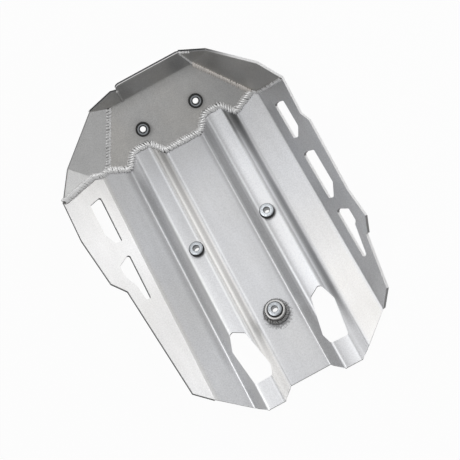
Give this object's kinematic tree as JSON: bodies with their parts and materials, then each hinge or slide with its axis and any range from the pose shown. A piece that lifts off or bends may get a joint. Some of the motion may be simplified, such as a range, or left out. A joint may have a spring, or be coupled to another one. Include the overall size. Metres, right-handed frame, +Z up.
{
  "type": "motorcycle skid plate",
  "caption": "Welded aluminium skid plate for an off-road motorcycle, with raised ribs, slotted side walls, a closed nose and rubber-mounted sleeves for its bolts.",
  "frame": {"origin": "on the axis of the rear boss, in the plane of the plate's underside", "axes": "+X to the machine's right, +Y forward to the front wheel, +Z up to the engine"},
  "size_m": [0.3563, 0.4913, 0.0881],
  "materials": {
    "aluminium_sheet": "satin mill finish, finely blasted",
    "weld_metal": "rippled weld bead, brushed clean",
    "sleeve_steel": "zinc plated, turned",
    "rubber": "matt black"
  },
  "bodies": {
    "root": {"main_plate": "aluminium_sheet", "nose_plate": "aluminium_sheet", "left_cheek": "aluminium_sheet", "right_cheek": "aluminium_sheet", "nose_seam_weld": "weld_metal", "left_cheek_weld": "weld_metal", "right_cheek_weld": "weld_metal", "left_wall_weld": "weld_metal", "right_wall_weld": "weld_metal", "left_flange_weld": "weld_metal", "right_flange_weld": "weld_metal", "rear_boss_tube": "aluminium_sheet", "rear_boss_weld": "weld_metal", "rear_grommet": "rubber", "rear_sleeve": "sleeve_steel", "mid_left_grommet": "rubber", "mid_left_sleeve": "sleeve_steel", "mid_right_grommet": "rubber", "mid_right_sleeve": "sleeve_steel", "front_left_grommet": "rubber", "front_left_sleeve": "sleeve_steel", "front_right_grommet": "rubber", "front_right_sleeve": "sleeve_steel"}
  },
  "joints": []
}
